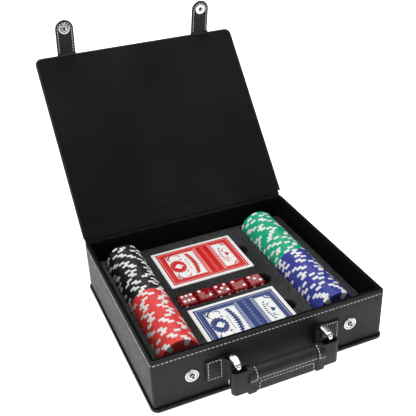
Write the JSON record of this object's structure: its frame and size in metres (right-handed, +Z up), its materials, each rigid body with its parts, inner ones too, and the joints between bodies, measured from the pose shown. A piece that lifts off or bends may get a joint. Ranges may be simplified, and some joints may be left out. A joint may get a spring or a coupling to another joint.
{
  "type": "poker chip case",
  "caption": "Open leather-covered case with a hinged velvet-lined lid, snap straps and a ring-hung handle, holding poker chips, card boxes and dice in a foam insert.",
  "frame": {"origin": "centre of the underside of the base board", "axes": "+X to the right along the front, +Y to the back towards the hinge, +Z up; the front wall with the handle faces -Y"},
  "size_m": [0.2328, 0.3695, 0.2512],
  "materials": {
    "black_leather": "fine grain, semi matt",
    "black_lining": "flocked velvet",
    "foam": "flocked foam",
    "lid_velvet": "velvet",
    "chrome": "polished",
    "chip_black": "matt",
    "chip_red": "matt",
    "chip_green": "matt",
    "chip_blue": "matt",
    "card_red": "satin printed card",
    "card_blue": "satin printed card",
    "card_stock": "satin",
    "die_red": "translucent"
  },
  "bodies": {
    "case": {"base_board": "black_leather", "front_wall": "black_leather", "back_wall": "black_leather", "left_wall": "black_leather", "right_wall": "black_leather", "wall_lining": "black_lining", "foam_insert": "foam", "hinge_strip": "black_leather", "handle_tab_left": "black_leather", "handle_tab_right": "black_leather", "snap_stud_left": "chrome", "snap_stud_right": "chrome"},
    "lid": {"lid_board": "black_leather", "lid_lining": "lid_velvet", "hinge_lining": "lid_velvet", "strap_root_left": "black_leather", "strap_root_right": "black_leather"},
    "strap_left": {"closing_strap_left": "black_leather", "snap_socket_left": "chrome", "snap_cap_left": "chrome"},
    "strap_right": {"closing_strap_right": "black_leather", "snap_socket_right": "chrome", "snap_cap_right": "chrome"},
    "handle_ring_left": {"ring_left": "chrome"},
    "handle_ring_right": {"ring_right": "chrome"},
    "handle": {"handle_core_strip": "black_leather", "grip_roll": "black_leather", "grip_flap": "black_leather", "grip_band_left": "black_leather", "grip_band_right": "black_leather", "handle_loop_left": "black_leather", "handle_loop_right": "black_leather"},
    "black_chips": {"chips_black": "chip_black"},
    "red_chips": {"chips_red": "chip_red"},
    "green_chips": {"chips_green": "chip_green"},
    "blue_chips": {"chips_blue": "chip_blue"},
    "red_pack": {"card_box_red": "card_red", "playing_cards_red": "card_stock"},
    "blue_pack": {"card_box_blue": "card_blue", "playing_cards_blue": "card_stock"},
    "loose_die_1": {"die_1": "die_red"},
    "loose_die_2": {"die_2": "die_red"},
    "loose_die_3": {"die_3": "die_red"},
    "loose_die_4": {"die_4": "die_red"},
    "loose_die_5": {"die_5": "die_red"}
  },
  "joints": [
    {"name": "lid_hinge", "type": "hinge", "parent": "case", "child": "lid", "pos_m": [0, 0.1016, 0.0564], "axis": [-1, 0, 0], "range_deg": [-130.6, 0]},
    {"name": "strap_left_fold", "type": "hinge", "parent": "lid", "child": "strap_left", "pos_m": [-0.0785, 0.2367, 0.2131], "axis": [-1, 0, 0], "range_deg": [-39.4, 50.6], "stiffness_Nm_per_rad": 0.008},
    {"name": "strap_right_fold", "type": "hinge", "parent": "lid", "child": "strap_right", "pos_m": [0.0785, 0.2367, 0.2131], "axis": [-1, 0, 0], "range_deg": [-36.4, 53.6], "stiffness_Nm_per_rad": 0.008},
    {"name": "ring_left_swing", "type": "hinge", "parent": "case", "child": "handle_ring_left", "pos_m": [-0.0443, -0.1053, 0.026], "axis": [0, 0, 1], "range_deg": [-30, 30]},
    {"name": "ring_right_swing", "type": "hinge", "parent": "case", "child": "handle_ring_right", "pos_m": [0.0443, -0.1053, 0.026], "axis": [0, 0, 1], "range_deg": [-30, 30]},
    {"name": "handle_swing", "type": "hinge", "parent": "handle_ring_left", "child": "handle", "pos_m": [-0.0443, -0.122, 0.026], "axis": [0, 0, 1], "range_deg": [-30, 30]},
    {"name": "lift_black_chips", "type": "slide", "parent": "case", "child": "black_chips", "axis": [0, 0, 1], "range_m": [0, 0.07]},
    {"name": "lift_red_chips", "type": "slide", "parent": "case", "child": "red_chips", "axis": [0, 0, 1], "range_m": [0, 0.07]},
    {"name": "lift_green_chips", "type": "slide", "parent": "case", "child": "green_chips", "axis": [0, 0, 1], "range_m": [0, 0.07]},
    {"name": "lift_blue_chips", "type": "slide", "parent": "case", "child": "blue_chips", "axis": [0, 0, 1], "range_m": [0, 0.07]},
    {"name": "lift_red_pack", "type": "slide", "parent": "case", "child": "red_pack", "axis": [0, 0, 1], "range_m": [0, 0.07]},
    {"name": "lift_blue_pack", "type": "slide", "parent": "case", "child": "blue_pack", "axis": [0, 0, 1], "range_m": [0, 0.07]},
    {"name": "lift_loose_die_1", "type": "slide", "parent": "case", "child": "loose_die_1", "axis": [0, 0, 1], "range_m": [0, 0.07]},
    {"name": "lift_loose_die_2", "type": "slide", "parent": "case", "child": "loose_die_2", "axis": [0, 0, 1], "range_m": [0, 0.07]},
    {"name": "lift_loose_die_3", "type": "slide", "parent": "case", "child": "loose_die_3", "axis": [0, 0, 1], "range_m": [0, 0.07]},
    {"name": "lift_loose_die_4", "type": "slide", "parent": "case", "child": "loose_die_4", "axis": [0, 0, 1], "range_m": [0, 0.07]},
    {"name": "lift_loose_die_5", "type": "slide", "parent": "case", "child": "loose_die_5", "axis": [0, 0, 1], "range_m": [0, 0.07]}
  ],
  "couplings": [
    {"joint": "ring_right_swing", "follows": "ring_left_swing", "ratio": 1},
    {"joint": "handle_swing", "follows": "ring_left_swing", "ratio": -1}
  ]
}
